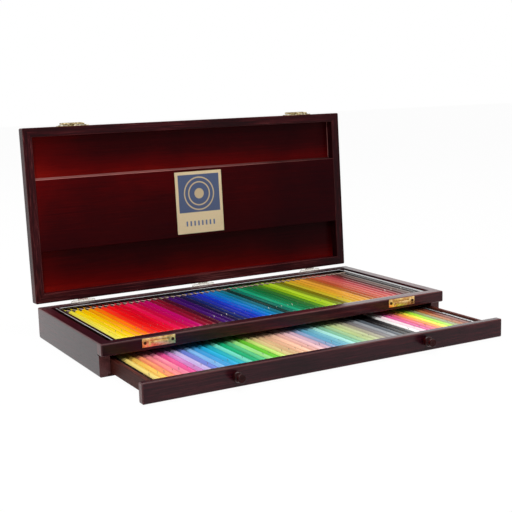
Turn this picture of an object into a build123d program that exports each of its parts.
from build123d import *
import os

# A wooden pencil case: a shallow box with a tray of pencils under a hinged lid, and below it a drawer
# with a second tray. Millimetres. The origin is the middle of the underside, +X to the right, +Y to the
# back and +Z up. The lid stands open and the drawer is pulled half way out.

# ---- driving dimensions ----------------------------------------------------------------------------

# pencils
pencil_diameter = 7.8
pencil_length = 175.0
pencil_gap = 0.06            # air between neighbouring pencils
pencils_per_row = 50
pencils_per_group = 5
sharpened_length = 19.0
lead_tip_diameter = 0.9
butt_round = 1.7             # rounding of the flat end

# moulded trays, one in the case and one in the drawer
tray_base = 0.45             # plastic under each pencil
tray_land = 1.9              # height of the lands between the pencils, above the base
tray_fit = 0.1               # play round each pencil in its groove
tray_rim_width = 4.4
tray_rim_wall = 0.8
tray_side_margin = 1.4       # from the rim to the first pencil's groove pitch
tray_end_wall = 3.2
pencil_end_play = 0.45
pencil_over_rim = 0.2        # pencils stand this much above the tray rim
tray_seat_gap = 0.1

# case
side_thickness = 12.0
back_thickness = 12.0
rail_thickness = 12.0
rail_height = 13.2
bottom_thickness = 3.0
tray_floor_thickness = 3.0
groove_depth = 3.0
groove_play = 0.1
tray_end_gap = 0.6
pencil_below_rim = 0.25      # top of the pencils below the rim of the case
edge_round = 1.6
back_foot_round = 3.0        # lower back edge of the case
soft_edge = 0.8
face_margin = 1.0            # an edge this far from a face is not one of the face's own

# drawer
drawer_front_thickness = 8.0
drawer_front_lift = 1.0      # underside of the drawer front above the table
drawer_front_gap = 1.4       # between the drawer front and the rail above it
drawer_close_gap = 0.2       # between the shut drawer front and the ends of the case sides
drawer_side_thickness = 4.0
drawer_side_height = 14.8
drawer_side_gap = 0.6
drawer_run_gap = 0.3
drawer_head_room = 6.7
drawer_back_thickness = 4.0
drawer_rear_gap = 0.6
drawer_tray_side_gap = 1.1
drawer_tray_end_gap = 0.3
drawer_bottom_thickness = 2.4
drawer_bottom_inset = 3.0
drawer_groove_depth = 2.0
drawer_shown = 102.4         # how far out the drawer stands
drawer_travel = 150.0        # how far out it comes before it meets its stop

# drawer stop, a batten under the tray floor
stop_width = 8.0
stop_drop = 5.2
stop_play = 0.2
stop_overlap = 2.6           # height over which the drawer's back wall meets it

# knobs
knob_spacing = 232.7
knob_row_offset = -5.5       # middle of the pair, to the left of the middle of the drawer
knob_height = 12.8
knob_foot_diameter = 7.0
knob_ball_diameter = 11.0
knob_ball_middle = 4.8       # widest place of the ball, in front of the drawer front
knob_waist_diameter = 7.4
knob_waist_place = 9.4       # narrow place between the ball and the face
knob_face_diameter = 8.8
knob_face_width = 2.6        # turned band behind the face
knob_face_bevel = 0.8
knob_length = 13.4
knob_screw_diameter = 3.0
knob_screw_head = 6.0
knob_screw_head_thickness = 1.6
knob_screw_sink = 1.8        # depth of the sinking for the screw's head
knob_screw_sink_play = 0.3
knob_screw_depth = 8.0
knob_screw_tip_gap = 0.5
screw_play = 0.05

# lid
lid_thickness = 14.8
lid_wall = 11.0
lid_panel_thickness = 2.8
lid_rebate = 5.0
lid_seam = 0.3               # between the shut lid and the case
lid_open_angle = 93.2
hold_down_width = 85.7
hold_down_thickness = 4.0
hold_down_recess = 0.5       # face of the board behind the rim of the lid
hold_down_play = 0.2
batten_width = 9.0
card_width = 65.6
card_height = 78.5
card_thickness = 0.4
card_offset = 2.6

# hinges, each with a stop tail that holds the lid open
hinge_spacing = 162.0
hinge_count = 3
hinge_width = 30.0
hinge_leaf_height = 10.5
hinge_leaf_thickness = 0.9
hinge_pin_offset = 3.2       # pin behind the back of the case
hinge_pin_drop = 0.4         # pin below the rim of the case
hinge_barrel_radius = 1.7
hinge_pin_radius = 0.8
hinge_running_gap = 0.05
hinge_knuckle_gap = 0.3
hinge_middle_knuckle = 13.0
hinge_swing_gap = 0.6        # room round the other leaf's knuckles
hinge_leaf_corner = 1.5
hinge_pin_end = 0.4          # pin beyond the outer knuckles
hinge_tail = 5.5             # stop tail below the barrel
hinge_tail_root = 0.2        # stop tail starts this far below the pin
hinge_stop_gap = 0.05        # between the tail and the case leaf when the lid is open
hinge_screw_spacing = 19.0

# small countersunk wood screws
wood_screw_head = 3.4
wood_screw_head_height = 0.5
wood_screw_shank = 1.6
wood_screw_length = 6.0
wood_screw_slot = 0.5
wood_screw_slot_depth = 0.3
wood_screw_hole_depth = 6.5

# catches
catch_spacing = 313.6
catch_plate_width = 37.4
catch_plate_height = 9.4
catch_plate_thickness = 0.8
strike_below_rim = 0.5
keeper_width = 23.0
keeper_height = 6.4
keeper_slope = 0.7           # slope of its long sides
keeper_end_slope = 1.4       # slope of its ends
keeper_lip = 0.7
catch_screw_spacing = 31.4
latch_plate_lift = 0.5       # latch plate above the rim of the lid
latch_pin_height = 1.6       # latch pin above the rim of the lid
latch_pin_radius = 0.6
latch_barrel_radius = 1.2
latch_barrel_standoff = 0.2  # between the hasp's knuckles and the plate
latch_middle_knuckle = 6.4
latch_knuckle_gap = 0.3
latch_pin_end = 0.2
hasp_width = 26.6
hasp_wall = 0.6
hasp_face_offset = 0.5       # inner face of the hasp in front of its pin
hasp_cover = 0.45            # room between the hasp and the keeper
hasp_finger_lip = 1.4
hasp_finger_width = 6.6
hasp_open_angle = 175.0

# ---- sizes worked out from them ----------------------------------------------------------------------

pencil_pitch = pencil_diameter + pencil_gap
pencil_row_width = pencils_per_row * pencil_pitch
tray_width = pencil_row_width + 2 * (tray_side_margin + tray_rim_width)
tray_length = pencil_length + 2 * (pencil_end_play + tray_end_wall)
tray_height = tray_base + pencil_diameter - pencil_over_rim

drawer_wall_room = drawer_tray_side_gap + drawer_side_thickness + drawer_side_gap
inner_width = tray_width + 2 * drawer_wall_room
case_width = inner_width + 2 * side_thickness
upper_depth = rail_thickness + tray_length + 2 * tray_end_gap
drawer_inner_length = tray_length + 2 * drawer_tray_end_gap
drawer_depth = drawer_front_thickness + drawer_inner_length + drawer_back_thickness
inner_depth = max(upper_depth, drawer_depth + drawer_rear_gap)
case_depth = inner_depth + back_thickness

drawer_side_bottom = bottom_thickness + drawer_run_gap
drawer_side_top = drawer_side_bottom + drawer_side_height
tray_floor_bottom = drawer_side_top + drawer_head_room
tray_floor_top = tray_floor_bottom + tray_floor_thickness
upper_tray_bottom = tray_floor_top + tray_seat_gap
case_height = upper_tray_bottom + tray_base + pencil_diameter + pencil_below_rim
rail_bottom = case_height - rail_height
drawer_front_top = rail_bottom - drawer_front_gap
drawer_bottom_under = drawer_side_bottom + drawer_bottom_inset
drawer_tray_bottom = drawer_bottom_under + drawer_bottom_thickness + tray_seat_gap

left = -case_width / 2
right = case_width / 2
front = -case_depth / 2
back = case_depth / 2
inner_left = left + side_thickness
inner_right = right - side_thickness
inner_back = back - back_thickness
side_front = front + drawer_front_thickness + drawer_close_gap

lid_bottom = case_height + lid_seam
lid_top = lid_bottom + lid_thickness
lid_panel_bottom = lid_top - lid_panel_thickness
hold_down_face = lid_bottom + hold_down_recess
hold_down_top = hold_down_face + hold_down_thickness

hinge_y = back + hinge_pin_offset
hinge_z = case_height - hinge_pin_drop
hinge_places = [(i - (hinge_count - 1) / 2) * hinge_spacing for i in range(hinge_count)]

catch_places = [-catch_spacing / 2, catch_spacing / 2]
strike_top = case_height - strike_below_rim
strike_middle = strike_top - catch_plate_height / 2
latch_y = front - catch_plate_thickness - latch_barrel_standoff - latch_barrel_radius
latch_z = lid_bottom + latch_pin_height
latch_plate_bottom = lid_bottom + latch_plate_lift
latch_plate_middle = latch_plate_bottom + catch_plate_height / 2
hasp_inner_face = latch_y - hasp_face_offset
keeper_depth = front - catch_plate_thickness - hasp_inner_face - hasp_cover

knob_places = [knob_row_offset - knob_spacing / 2, knob_row_offset + knob_spacing / 2]


# ---- helpers -----------------------------------------------------------------------------------------

def block(x0, x1, y0, y1, z0, z1):
    """A box between two corners."""
    middle = Pos((x0 + x1) / 2, (y0 + y1) / 2, (z0 + z1) / 2)
    return middle * Box(x1 - x0, y1 - y0, z1 - z0)


def rounded(shape, radius, wanted):
    """The shape with those edges filleted whose middle point is wanted."""
    edges = [edge for edge in shape.edges() if wanted(edge.center())]
    return fillet(edges, radius)


def near(a, b):
    return abs(a - b) < 0.01


def rod(x0, x1, y, z, radius):
    """A round bar along X."""
    return Pos((x0 + x1) / 2, y, z) * Rot(0, 90, 0) * Cylinder(radius, x1 - x0)


def slide_out(shape):
    """A drawer piece, from shut to where the drawer stands."""
    return Pos(0, -drawer_shown, 0) * shape


def swing_open(shape):
    """A lid piece, from shut to where the lid stands."""
    return shape.rotate(Axis((0, hinge_y, hinge_z), (1, 0, 0)), -lid_open_angle)


def group(shapes):
    return Compound(children=[Part() + shape for shape in shapes])


# ---- pencils and trays -------------------------------------------------------------------------------

def pencil():
    """One sharpened pencil along +Y, its butt at the origin."""
    r = pencil_diameter / 2
    tip = lead_tip_diameter / 2
    shoulder = pencil_length - sharpened_length
    with BuildPart() as built:
        with BuildSketch(Plane.XY):
            with BuildLine():
                Polyline((0, pencil_length), (0, 0), (r - butt_round, 0))
                RadiusArc((r - butt_round, 0), (r, butt_round), -butt_round)
                Polyline((r, butt_round), (r, shoulder), (tip, pencil_length), (0, pencil_length))
            make_face()
        revolve(axis=Axis.Y)
    return built.part


def pencil_row(tray_bottom, row_front):
    """All the pencils of one tray, left to right."""
    one = pencil()
    z = tray_bottom + tray_base + pencil_diameter / 2
    y = row_front + tray_end_wall + pencil_end_play
    first = (pencil_pitch - pencil_row_width) / 2
    return [Pos(first + i * pencil_pitch, y, z) * one for i in range(pencils_per_row)]


def tray(bottom, tray_front):
    """A moulded tray: a hollow rim, and a bed with one groove for each pencil."""
    tray_back = tray_front + tray_length
    half = tray_width / 2
    top = bottom + tray_height
    shell = block(-half, half, tray_front, tray_back, bottom, top)
    bed_half = half - tray_rim_width
    bed_front = tray_front + tray_end_wall
    bed_back = tray_back - tray_end_wall
    land = bottom + tray_base + tray_land
    shell -= block(-bed_half, bed_half, bed_front, bed_back, land, top)
    shell = rounded(shell, soft_edge, lambda c: near(c.Z, top))
    groove = Rot(90, 0, 0) * Cylinder(pencil_diameter / 2 + tray_fit, bed_back - bed_front)
    z = bottom + tray_base + pencil_diameter / 2
    y = (bed_front + bed_back) / 2
    first = (pencil_pitch - pencil_row_width) / 2
    shell -= [Pos(first + i * pencil_pitch, y, z) * groove for i in range(pencils_per_row)]
    channel_top = top - tray_rim_wall
    inner = half - tray_rim_width + tray_rim_wall
    outer = half - tray_rim_wall
    for side in (-1, 1):
        x0, x1 = sorted((side * inner, side * outer))
        shell -= block(x0, x1, tray_front + tray_rim_wall, tray_back - tray_rim_wall, bottom, channel_top)
    return shell


# ---- case --------------------------------------------------------------------------------------------

def floor_groove():
    """The room that the tray floor takes in the sides."""
    return block(inner_left - groove_depth - groove_play, inner_right + groove_depth + groove_play,
                 front + rail_thickness, inner_back, tray_floor_bottom, tray_floor_top)


def bottom_rebate():
    """The room that the bottom takes in the sides and under the back."""
    return block(inner_left - groove_depth - groove_play, inner_right + groove_depth + groove_play,
                 side_front, inner_back + groove_depth + groove_play, 0, bottom_thickness)


def case_side(side):
    """One side: notched at the front for the rail, grooved for the floor and the bottom."""
    outer = side * right
    x0, x1 = sorted((outer, outer - side * side_thickness))
    notch_back = front + rail_thickness
    panel = block(x0, x1, side_front, back, 0, case_height)
    panel = rounded(panel, back_foot_round, lambda c: near(c.Y, back) and near(c.Z, 0))
    panel = rounded(panel, soft_edge, lambda c: near(c.Y, back) and near(c.Z, case_height))
    panel -= block(x0, x1, side_front, notch_back, rail_bottom, case_height)
    panel = rounded(panel, edge_round, lambda c: near(c.X, outer) and c.Y > side_front + face_margin
                    and not near(c.Y, notch_back) and not near(c.Z, rail_bottom))
    return panel - floor_groove() - bottom_rebate()


def front_rail():
    """The rail across the front, over the drawer, with the strike plates' screw holes."""
    rail = block(left, right, front, front + rail_thickness, rail_bottom, case_height)
    rail = rounded(rail, edge_round, lambda c: c.Y < front + rail_thickness - face_margin)
    return rail - [screw_hole(place) for place in strike_screw_places()]


def back_panel():
    panel = block(inner_left, inner_right, inner_back, back, 0, case_height)
    panel = rounded(panel, back_foot_round, lambda c: near(c.Y, back) and near(c.Z, 0))
    panel = rounded(panel, soft_edge, lambda c: near(c.Y, back) and near(c.Z, case_height))
    panel -= bottom_rebate()
    return panel - [screw_hole(place) for place in hinge_screw_places(-1)]


def bottom_panel():
    return block(inner_left - groove_depth, inner_right + groove_depth,
                 side_front, inner_back + groove_depth, 0, bottom_thickness)


def tray_floor():
    return block(inner_left - groove_depth, inner_right + groove_depth,
                 front + rail_thickness, inner_back, tray_floor_bottom, tray_floor_top)


def stop_front():
    """Front face of the drawer stop: the back of the drawer meets it at full travel."""
    shut_back_wall = front + drawer_front_thickness + drawer_inner_length
    return shut_back_wall - drawer_travel - stop_width - stop_play


def drawer_stop():
    """A batten under the tray floor that keeps the drawer from coming right out."""
    y0 = stop_front()
    return block(inner_left + drawer_wall_room, inner_right - drawer_wall_room,
                 y0, y0 + stop_width, tray_floor_bottom - stop_drop, tray_floor_bottom)


# ---- drawer, drawn shut ------------------------------------------------------------------------------

drawer_left = inner_left + drawer_side_gap
drawer_right = inner_right - drawer_side_gap
drawer_inner_front = front + drawer_front_thickness
drawer_inner_back = drawer_inner_front + drawer_inner_length


def drawer_bottom_groove():
    play = groove_play
    return block(drawer_left + drawer_side_thickness - drawer_groove_depth - play,
                 drawer_right - drawer_side_thickness + drawer_groove_depth + play,
                 drawer_inner_front, drawer_inner_back + drawer_groove_depth + play,
                 drawer_bottom_under, drawer_bottom_under + drawer_bottom_thickness)


def drawer_front():
    board = block(left, right, front, drawer_inner_front, drawer_front_lift, drawer_front_top)
    board = rounded(board, edge_round, lambda c: c.Y < drawer_inner_front - face_margin)
    return board - [knob_hole(x) for x in knob_places]


def drawer_side(side):
    outer = drawer_right if side > 0 else drawer_left
    x0, x1 = sorted((outer, outer - side * drawer_side_thickness))
    wall = block(x0, x1, drawer_inner_front, drawer_inner_back + drawer_back_thickness,
                 drawer_side_bottom, drawer_side_top)
    return wall - drawer_bottom_groove()


def drawer_back():
    """The back wall, tall enough to meet the stop under the tray floor."""
    top = tray_floor_bottom - stop_drop + stop_overlap
    wall = block(drawer_left + drawer_side_thickness, drawer_right - drawer_side_thickness,
                 drawer_inner_back, drawer_inner_back + drawer_back_thickness,
                 drawer_side_bottom, top)
    return wall - drawer_bottom_groove()


def drawer_bottom():
    return block(drawer_left + drawer_side_thickness - drawer_groove_depth,
                 drawer_right - drawer_side_thickness + drawer_groove_depth,
                 drawer_inner_front, drawer_inner_back + drawer_groove_depth,
                 drawer_bottom_under, drawer_bottom_under + drawer_bottom_thickness)


def knob_hole(x):
    """The hole for a knob's screw, sunk at the back for its head."""
    shank = Rot(90, 0, 0) * Cylinder(knob_screw_diameter / 2 + screw_play, 4 * drawer_front_thickness)
    sinking = Rot(90, 0, 0) * Cylinder(knob_screw_head / 2 + knob_screw_sink_play, 2 * knob_screw_sink)
    return Pos(x, front, knob_height) * shank + Pos(x, drawer_inner_front, knob_height) * sinking


def knob(x):
    """A turned knob: a ball on a small foot, a waist and a flat face, with a blind hole for its screw."""
    foot = (knob_foot_diameter / 2, 0)
    widest = (knob_ball_diameter / 2, knob_ball_middle)
    waist = (knob_waist_diameter / 2, knob_waist_place)
    face = knob_face_diameter / 2
    with BuildPart() as built:
        with BuildSketch(Plane.XY):
            with BuildLine():
                Line((0, 0), foot)
                Spline(foot, widest, waist, tangents=[(1, 1), (0, 1)])
                Polyline(waist, (face, knob_length - knob_face_width), (face, knob_length - knob_face_bevel),
                         (face - knob_face_bevel, knob_length), (0, knob_length), (0, 0))
            make_face()
        revolve(axis=Axis.Y)
    turned = Rot(180, 0, 0) * built.part
    hole = Rot(90, 0, 0) * Cylinder(knob_screw_diameter / 2 + screw_play, 2 * knob_screw_depth)
    return Pos(x, front, knob_height) * (turned - hole)


def knob_screw(x):
    """A round-headed screw through the drawer front into the knob."""
    inner = drawer_inner_front - knob_screw_sink
    shank_length = drawer_front_thickness - knob_screw_sink + knob_screw_depth - knob_screw_tip_gap
    shank = Pos(x, inner - shank_length / 2, knob_height) * Rot(90, 0, 0)
    shank = shank * Cylinder(knob_screw_diameter / 2, shank_length)
    head = Pos(x, inner + knob_screw_head_thickness / 2, knob_height) * Rot(90, 0, 0)
    return shank + head * Cylinder(knob_screw_head / 2, knob_screw_head_thickness)


# ---- lid, drawn shut ---------------------------------------------------------------------------------

def lid_outline():
    """The whole outside of the lid, with its rounded edges."""
    body = block(left, right, front, back, lid_bottom, lid_top)
    body = rounded(body, edge_round, lambda c: c.Z > lid_bottom + face_margin)
    return rounded(body, soft_edge, lambda c: near(c.Z, lid_bottom))


def lid_inside():
    """The room inside the lid's frame, with the rebate that the panel drops into."""
    well = block(left + lid_wall, right - lid_wall, front + lid_wall, back - lid_wall,
                 lid_bottom, lid_top)
    seat = lid_wall - lid_rebate
    rebate = block(left + seat, right - seat, front + seat, back - seat, lid_panel_bottom, lid_top)
    return well + rebate


def mitre(side_way, side):
    """A prism that takes one rail of the frame, cut at 45 degrees at both ends."""
    reach = case_depth / 2
    if side_way:
        points = [(side * right, front), (side * right, back),
                  (side * (right - reach), 0)]
    else:
        edge = side * back
        points = [(left, edge), (right, edge), (right - reach, 0), (left + reach, 0)]
    face = make_face(Polyline(*points, close=True))
    return Pos(0, 0, lid_bottom) * extrude(face, lid_thickness)


def lid_frame():
    """The four rails as one ring, with the inner edge of the rim softened."""
    inner_x, inner_y = right - lid_wall, back - lid_wall
    return rounded(lid_outline() - lid_inside(), soft_edge, lambda c: near(c.Z, lid_bottom)
                   and abs(c.X) < inner_x + edge_round and abs(c.Y) < inner_y + edge_round)


def lid_rail(side_way, side):
    rail = lid_frame() & mitre(side_way, side)
    if not side_way and side > 0:
        rail -= [screw_hole(place) for place in hinge_screw_places(1)]
    if not side_way and side < 0:
        rail -= [screw_hole(place) for place in latch_screw_places()]
    return rail


def lid_panel():
    seat = lid_wall - lid_rebate + groove_play
    return block(left + seat, right - seat, front + seat, back - seat, lid_panel_bottom, lid_top)


def hold_down_board():
    """The board in the middle of the lid that keeps the pencils in place."""
    half = hold_down_width / 2
    reach = right - lid_wall - hold_down_play
    board = block(-reach, reach, -half, half, hold_down_face, hold_down_top)
    return rounded(board, soft_edge, lambda c: near(c.Z, hold_down_face) and near(abs(c.Y), half))


def hold_down_battens():
    half = hold_down_width / 2
    reach = right - lid_wall - hold_down_play
    strips = []
    for side in (-1, 1):
        y0, y1 = sorted((side * half, side * (half - batten_width)))
        strips.append(block(-reach, reach, y0, y1, hold_down_top, lid_panel_bottom))
    return strips


def card():
    half = card_width / 2
    tall = card_height / 2
    return block(card_offset - half, card_offset + half, -tall, tall,
                 hold_down_face - card_thickness, hold_down_face)


# ---- small screws ------------------------------------------------------------------------------------

# A screw's place is the point where its axis meets the wood, the direction that it is driven in along Y,
# and the thickness of the plate that it holds.

def strike_screw_places():
    half = catch_screw_spacing / 2
    return [(x + side * half, front, strike_middle, 1, catch_plate_thickness)
            for x in catch_places for side in (-1, 1)]


def latch_screw_places():
    half = catch_screw_spacing / 2
    return [(x + side * half, front, latch_plate_middle, 1, catch_plate_thickness)
            for x in catch_places for side in (-1, 1)]


def hinge_screw_places(side):
    """Screws of the case leaves for side -1, of the lid leaves for side 1."""
    half = hinge_screw_spacing / 2
    z = hinge_z + side * (hinge_barrel_radius + hinge_leaf_height) / 2
    return [(x + end * half, back, z, -1, hinge_leaf_thickness)
            for x in hinge_places for end in (-1, 1)]


def screw_hole(place):
    x, y, z, way, plate = place
    hole = Rot(90, 0, 0) * Cylinder(wood_screw_shank / 2 + screw_play, 2 * wood_screw_hole_depth)
    return Pos(x, y, z) * hole


def wood_screw(place):
    """A screw with a low domed head and a slot, driven through its plate into the wood."""
    x, y, z, way, plate = place
    shank = Pos(0, wood_screw_length / 2 - plate, 0) * Rot(90, 0, 0)
    shank = shank * Cylinder(wood_screw_shank / 2, wood_screw_length)
    head = Pos(0, -plate - wood_screw_head_height / 2, 0) * Rot(90, 0, 0)
    head = head * Cylinder(wood_screw_head / 2, wood_screw_head_height)
    slot = Box(wood_screw_head, wood_screw_slot_depth, wood_screw_slot)
    slot = Pos(0, -plate - wood_screw_head_height + wood_screw_slot_depth / 2, 0) * slot
    screw = shank + head - slot
    if way < 0:
        screw = Rot(0, 0, 180) * screw
    return Pos(x, y, z) * screw


# ---- hinges ------------------------------------------------------------------------------------------

def leaf_plate(x, side):
    """The flat of one leaf on the back of the case (side -1) or of the shut lid (side 1)."""
    z0, z1 = sorted((hinge_z, hinge_z + side * (hinge_barrel_radius + hinge_leaf_height)))
    plate = block(x - hinge_width / 2, x + hinge_width / 2, back, back + hinge_leaf_thickness, z0, z1)
    far = hinge_z + side * (hinge_barrel_radius + hinge_leaf_height)
    plate = rounded(plate, hinge_leaf_corner, lambda c: near(c.Z, far) and near(abs(c.X - x), hinge_width / 2))
    for place in hinge_screw_places(side):
        plate -= screw_hole(place)
    return plate


def knuckle(x0, x1, side, bore):
    """One knuckle, rolled from its leaf round the pin."""
    barrel = rod(x0, x1, hinge_y, hinge_z, hinge_barrel_radius)
    z0, z1 = sorted((hinge_z, hinge_z + side * hinge_barrel_radius))
    web = block(x0, x1, back, hinge_y, z0, z1)
    return barrel + web - rod(x0, x1, hinge_y, hinge_z, bore)


def knuckle_room(x0, x1):
    """Room for the other leaf's knuckle to turn in."""
    return rod(x0, x1, hinge_y, hinge_z, hinge_pin_offset + hinge_swing_gap)


def case_leaf(x):
    half = hinge_width / 2
    middle = hinge_middle_knuckle / 2 + hinge_knuckle_gap
    leaf = leaf_plate(x, -1) - knuckle_room(x - middle, x + middle)
    leaf += knuckle(x - half, x - middle, -1, hinge_pin_radius)
    leaf += knuckle(x + middle, x + half, -1, hinge_pin_radius)
    return leaf


def lid_leaf(x):
    """The lid's leaf: one knuckle, and a tail that rests on the case leaf when the lid is open."""
    half = hinge_width / 2
    middle = hinge_middle_knuckle / 2
    room = middle + hinge_knuckle_gap
    leaf = leaf_plate(x, 1)
    leaf -= knuckle_room(x - half, x - middle) + knuckle_room(x + middle, x + half)
    leaf += knuckle(x - middle, x + middle, 1, hinge_pin_radius + hinge_running_gap)
    inner = back + hinge_leaf_thickness + hinge_stop_gap - hinge_y
    tail = block(x - middle, x + middle, hinge_y + inner, hinge_y + inner + hinge_leaf_thickness,
                 hinge_z - hinge_barrel_radius - hinge_tail, hinge_z - hinge_tail_root)
    tail = tail.rotate(Axis((0, hinge_y, hinge_z), (1, 0, 0)), lid_open_angle)
    return leaf + tail - rod(x - room, x + room, hinge_y, hinge_z, hinge_pin_radius + hinge_running_gap)


def hinge_pin(x):
    half = hinge_width / 2 + hinge_pin_end
    return rod(x - half, x + half, hinge_y, hinge_z, hinge_pin_radius)


# ---- catches -----------------------------------------------------------------------------------------

def catch_plate(x, z0, places):
    """A flat plate on the front, with two screw holes."""
    plate = block(x - catch_plate_width / 2, x + catch_plate_width / 2,
                  front - catch_plate_thickness, front, z0, z0 + catch_plate_height)
    for place in places:
        plate -= screw_hole(place)
    return plate


def strike_plate(x):
    """The case's half of a catch: a plate with a raised, sloping keeper and a lip along its top."""
    plate = catch_plate(x, strike_top - catch_plate_height, strike_screw_places())
    base = front - catch_plate_thickness
    keeper_middle = strike_middle - keeper_lip / 2
    foot = Pos(x, base, keeper_middle) * Rot(90, 0, 0) * Rectangle(keeper_width, keeper_height)
    crown = Rectangle(keeper_width - 2 * keeper_end_slope, keeper_height - 2 * keeper_slope)
    crown = Pos(x, base - keeper_depth, keeper_middle) * Rot(90, 0, 0) * crown
    keeper = loft([foot, crown])
    lip_top = keeper_middle + keeper_height / 2 + keeper_lip
    lip = block(x - keeper_width / 2, x + keeper_width / 2, base - keeper_lip, base,
                lip_top - keeper_lip / 2, lip_top)
    return plate + keeper + lip


def latch_plate(x):
    """The lid's half of a catch: a plate with the middle knuckle of the hasp's hinge."""
    half = latch_middle_knuckle / 2
    plate = catch_plate(x, latch_plate_bottom, latch_screw_places())
    plate += rod(x - half, x + half, latch_y, latch_z, latch_barrel_radius)
    plate += block(x - half, x + half, latch_y, front - catch_plate_thickness,
                   latch_plate_bottom, latch_z)
    return plate - rod(x - half, x + half, latch_y, latch_z, latch_pin_radius)


def latch_pin(x):
    half = hasp_width / 2 + latch_pin_end
    return rod(x - half, x + half, latch_y, latch_z, latch_pin_radius)


def hasp(x):
    """The flap that closes over the keeper, hanging down, as when the case is shut."""
    half = hasp_width / 2
    room = latch_middle_knuckle / 2 + latch_knuckle_gap
    outer_face = hasp_inner_face - hasp_wall
    keeper_bottom = strike_middle - keeper_lip / 2 - keeper_height / 2
    lower = keeper_bottom - hasp_cover - hasp_wall
    flange_back = front - catch_plate_thickness - hasp_cover
    flap = block(x - half, x + half, outer_face, hasp_inner_face, lower, latch_z)
    flap += block(x - half, x + half, hasp_inner_face, flange_back, lower, lower + hasp_wall)
    for side in (-1, 1):
        x0, x1 = sorted((x + side * half, x + side * (half - hasp_wall)))
        flap += block(x0, x1, hasp_inner_face, flange_back, lower, strike_top)
    finger = hasp_finger_width / 2
    flap += block(x - finger, x + finger, outer_face - hasp_finger_lip, outer_face,
                  lower, lower + hasp_wall)
    swing = latch_barrel_radius + latch_knuckle_gap
    flap -= rod(x - room, x + room, latch_y, latch_z, swing)
    for x0, x1 in ((x - half, x - room), (x + room, x + half)):
        flap += rod(x0, x1, latch_y, latch_z, latch_barrel_radius)
    return flap - rod(x - half, x + half, latch_y, latch_z, latch_pin_radius + hinge_running_gap)


def place_hasp(shape):
    """A hasp, from shut to thrown back on the open lid."""
    thrown = shape.rotate(Axis((0, latch_y, latch_z), (1, 0, 0)), -hasp_open_angle)
    return swing_open(thrown)


# ---- all pieces --------------------------------------------------------------------------------------

upper_tray_front = front + rail_thickness + (inner_depth - rail_thickness - tray_length) / 2
drawer_tray_front = drawer_inner_front + drawer_tray_end_gap


def pencil_groups(name, pencils, place):
    """Named groups of neighbouring pencils, numbered from the left."""
    groups = {}
    for start in range(0, pencils_per_row, pencils_per_group):
        number = start // pencils_per_group + 1
        chosen = pencils[start:start + pencils_per_group]
        groups[f"{name}_{number:02d}"] = group([place(one) for one in chosen])
    return groups


def stay(shape):
    return shape


def case_pieces():
    pieces = {
        "case_left_side": case_side(-1),
        "case_right_side": case_side(1),
        "case_front_rail": front_rail(),
        "case_back_panel": back_panel(),
        "case_bottom_panel": bottom_panel(),
        "tray_floor_panel": tray_floor(),
        "drawer_stop_batten": drawer_stop(),
        "upper_tray": tray(upper_tray_bottom, upper_tray_front),
        "strike_plates": group([strike_plate(x) for x in catch_places]),
        "strike_plate_screws": group([wood_screw(place) for place in strike_screw_places()]),
        "hinge_case_leaves": group([case_leaf(x) for x in hinge_places]),
        "hinge_case_screws": group([wood_screw(place) for place in hinge_screw_places(-1)]),
        "hinge_pins": group([hinge_pin(x) for x in hinge_places]),
    }
    pencils = pencil_row(upper_tray_bottom, upper_tray_front)
    pieces.update(pencil_groups("upper_pencils", pencils, stay))
    return pieces


def drawer_pieces():
    pieces = {
        "drawer_front_board": slide_out(drawer_front()),
        "drawer_left_side": slide_out(drawer_side(-1)),
        "drawer_right_side": slide_out(drawer_side(1)),
        "drawer_back_wall": slide_out(drawer_back()),
        "drawer_bottom_panel": slide_out(drawer_bottom()),
        "drawer_tray": slide_out(tray(drawer_tray_bottom, drawer_tray_front)),
        "drawer_knobs": group([slide_out(knob(x)) for x in knob_places]),
        "knob_screws": group([slide_out(knob_screw(x)) for x in knob_places]),
    }
    pencils = pencil_row(drawer_tray_bottom, drawer_tray_front)
    pieces.update(pencil_groups("drawer_pencils", pencils, slide_out))
    return pieces


def lid_pieces():
    return {
        "lid_left_rail": swing_open(lid_rail(True, -1)),
        "lid_right_rail": swing_open(lid_rail(True, 1)),
        "lid_front_rail": swing_open(lid_rail(False, -1)),
        "lid_back_rail": swing_open(lid_rail(False, 1)),
        "lid_panel": swing_open(lid_panel()),
        "hold_down_board": swing_open(hold_down_board()),
        "hold_down_battens": group([swing_open(strip) for strip in hold_down_battens()]),
        "lid_card": swing_open(card()),
        "hinge_lid_leaves": group([swing_open(lid_leaf(x)) for x in hinge_places]),
        "hinge_lid_screws": group([swing_open(wood_screw(place)) for place in hinge_screw_places(1)]),
        "latch_plates": group([swing_open(latch_plate(x)) for x in catch_places]),
        "latch_plate_screws": group([swing_open(wood_screw(place)) for place in latch_screw_places()]),
        "latch_pins": group([swing_open(latch_pin(x)) for x in catch_places]),
        "left_hasp": place_hasp(hasp(catch_places[0])),
        "right_hasp": place_hasp(hasp(catch_places[1])),
    }


def main():
    os.makedirs("parts", exist_ok=True)
    pieces = {**case_pieces(), **drawer_pieces(), **lid_pieces()}
    for name, shape in pieces.items():
        export_step(shape, f"parts/{name}.step")
    print(len(pieces), "pieces, case", round(case_width, 2), round(case_depth, 2), round(case_height, 2))
    print("hinge pin", round(hinge_y, 3), round(hinge_z, 3))
    open_pin = swing_open(Pos(0, latch_y, latch_z) * Sphere(latch_pin_radius)).center()
    print("latch pin of the open lid", round(open_pin.Y, 3), round(open_pin.Z, 3))


main()
